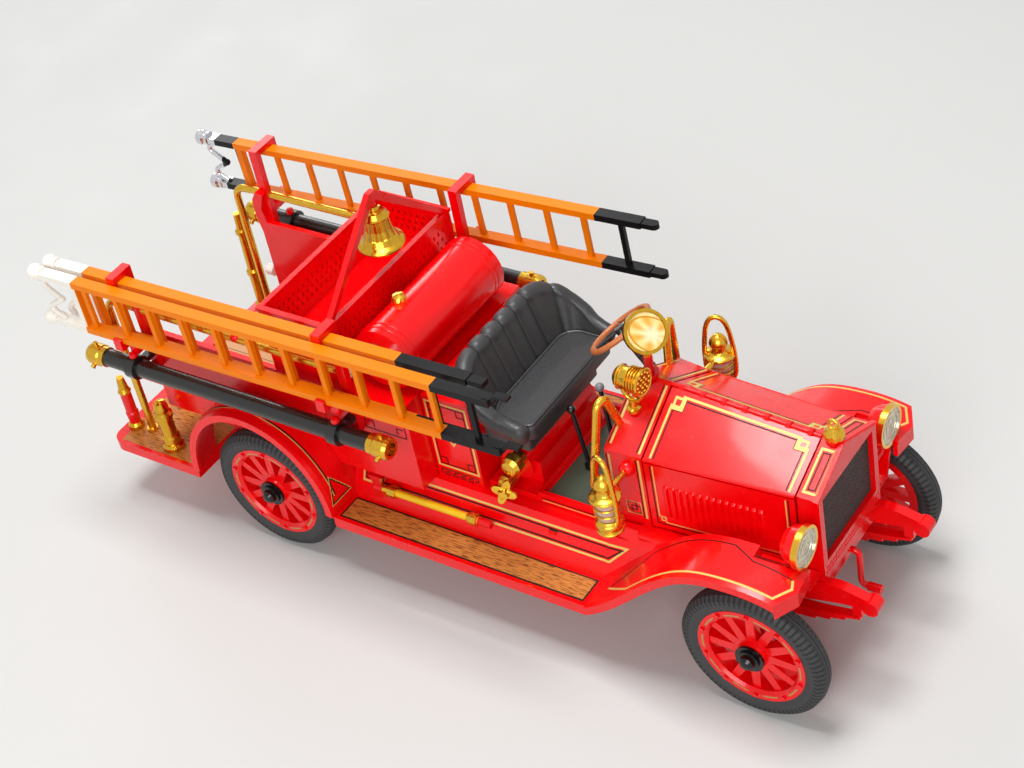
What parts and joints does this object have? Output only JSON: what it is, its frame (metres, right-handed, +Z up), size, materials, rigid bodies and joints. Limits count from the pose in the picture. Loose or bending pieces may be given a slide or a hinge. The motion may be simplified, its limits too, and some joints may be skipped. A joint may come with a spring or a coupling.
{
  "type": "fire engine model",
  "caption": "Scale model of an early motor fire engine with ladders, suction hoses, bell, open cab, folding hood and steered, turning wheels.",
  "frame": {"origin": "on the floor, under the centre of the whole model's outline", "axes": "+X towards the radiator, +Y towards the driver's side (the model's left), +Z up"},
  "size_m": [0.1758, 0.0582, 0.0766],
  "materials": {
    "red_paint": "glossy bright red",
    "tyre_rubber": "matt dark grey",
    "dark_core": "matt brown black",
    "seat_black": "satin black",
    "grey_board": "satin grey green",
    "wood_inset": "orange brown with dark dashes",
    "ladder_orange": "orange with fine grain",
    "hose_black": "semi-gloss black",
    "brass": "polished brass plating",
    "rim_brown": "terracotta",
    "clear_glass": "clear"
  },
  "bodies": {
    "chassis": {"basket": "red_paint", "basket_panels": "red_paint", "bell": "brass", "bell_arch": "red_paint", "board_insets": "wood_inset", "brass_fittings": "brass", "cab_floor": "grey_board", "chassis_frame": "red_paint", "control_levers": "hose_black", "cowl": "red_paint", "engine_block": "dark_core", "fire_axe": "red_paint", "front_axle": "red_paint", "front_fenders": "red_paint", "handrails": "brass", "headlights": "red_paint", "hose_body": "red_paint", "hose_clamps": "hose_black", "hose_couplings": "brass", "ladder_brackets": "red_paint", "ladder_left": "ladder_orange", "ladder_right_inner": "ladder_orange", "ladder_right_outer": "ladder_orange", "lamp_glasses": "clear_glass", "lanterns": "brass", "leaf_springs": "red_paint", "pump": "red_paint", "radiator_core": "dark_core", "radiator_shell": "red_paint", "rear_axle": "red_paint", "rear_fenders": "red_paint", "rear_step": "red_paint", "running_boards": "red_paint", "searchlight": "brass", "seat": "seat_black", "seat_box": "red_paint", "siren": "brass", "starting_crank": "red_paint", "steering_column": "hose_black", "stowed_nozzles": "brass", "suction_hoses": "hose_black", "tank": "red_paint"},
    "hood_top_left": {"hood_top_left": "red_paint"},
    "hood_top_right": {"hood_top_right": "red_paint"},
    "hood_side_left": {"hood_side_left": "red_paint"},
    "hood_side_right": {"hood_side_right": "red_paint"},
    "knuckle_left": {"knuckle_left": "red_paint"},
    "knuckle_right": {"knuckle_right": "red_paint"},
    "tie_rod": {"tie_rod": "red_paint"},
    "steering_wheel": {"steering_wheel": "rim_brown"},
    "wheel_front_left": {"tyre_front_left": "tyre_rubber", "wheel_front_left": "red_paint"},
    "wheel_front_right": {"tyre_front_right": "tyre_rubber", "wheel_front_right": "red_paint"},
    "wheel_rear_left": {"tyre_rear_left": "tyre_rubber", "wheel_rear_left": "red_paint"},
    "wheel_rear_right": {"tyre_rear_right": "tyre_rubber", "wheel_rear_right": "red_paint"}
  },
  "joints": [
    {"name": "hood_top_left_hinge", "type": "hinge", "parent": "chassis", "child": "hood_top_left", "pos_m": [0.07319, 0, 0.047], "axis": [0.9963, 0, -0.0863], "range_deg": [0, 50]},
    {"name": "hood_top_right_hinge", "type": "hinge", "parent": "chassis", "child": "hood_top_right", "pos_m": [0.07319, 0, 0.047], "axis": [-0.9963, 0, 0.0863], "range_deg": [0, 50]},
    {"name": "hood_side_left_hinge", "type": "hinge", "parent": "hood_top_left", "child": "hood_side_left", "pos_m": [0.07319, 0.0109, 0.0423], "axis": [0.998, -0.0623, 0.0069], "range_deg": [-50, 0]},
    {"name": "hood_side_right_hinge", "type": "hinge", "parent": "hood_top_right", "child": "hood_side_right", "pos_m": [0.07319, -0.0109, 0.0423], "axis": [-0.998, -0.0623, -0.0069], "range_deg": [-50, 0]},
    {"name": "steering_left", "type": "hinge", "parent": "chassis", "child": "knuckle_left", "pos_m": [0.06935, 0.017, 0.0143], "axis": [0, 0, 1], "range_deg": [-25, 25]},
    {"name": "steering_right", "type": "hinge", "parent": "chassis", "child": "knuckle_right", "pos_m": [0.06935, -0.017, 0.0143], "axis": [0, 0, 1], "range_deg": [-25, 25]},
    {"name": "tie_rod_pivot", "type": "hinge", "parent": "knuckle_left", "child": "tie_rod", "pos_m": [0.06234, 0.017, 0.01035], "axis": [0, 0, 1], "range_deg": [-25, 25]},
    {"name": "steering_wheel_turn", "type": "hinge", "parent": "chassis", "child": "steering_wheel", "pos_m": [0.02915, 0.0074, 0.052], "axis": [-0.6157, 0, 0.788], "range_deg": [-100, 100]},
    {"name": "wheel_front_left_spin", "type": "hinge", "parent": "knuckle_left", "child": "wheel_front_left", "pos_m": [0.06935, 0.023, 0.0143], "axis": [0, 1, 0], "continuous": true},
    {"name": "wheel_front_right_spin", "type": "hinge", "parent": "knuckle_right", "child": "wheel_front_right", "pos_m": [0.06935, -0.023, 0.0143], "axis": [0, 1, 0], "continuous": true},
    {"name": "wheel_rear_left_spin", "type": "hinge", "parent": "chassis", "child": "wheel_rear_left", "pos_m": [-0.03905, 0.0236, 0.0143], "axis": [0, 1, 0], "continuous": true},
    {"name": "wheel_rear_right_spin", "type": "hinge", "parent": "chassis", "child": "wheel_rear_right", "pos_m": [-0.03905, -0.0236, 0.0143], "axis": [0, 1, 0], "continuous": true}
  ],
  "couplings": [
    {"joint": "steering_right", "follows": "steering_left", "ratio": 1},
    {"joint": "tie_rod_pivot", "follows": "steering_left", "ratio": -1},
    {"joint": "steering_wheel_turn", "follows": "steering_left", "ratio": 4},
    {"joint": "hood_side_left_hinge", "follows": "hood_top_left_hinge", "ratio": -1},
    {"joint": "hood_side_right_hinge", "follows": "hood_top_right_hinge", "ratio": -1}
  ]
}
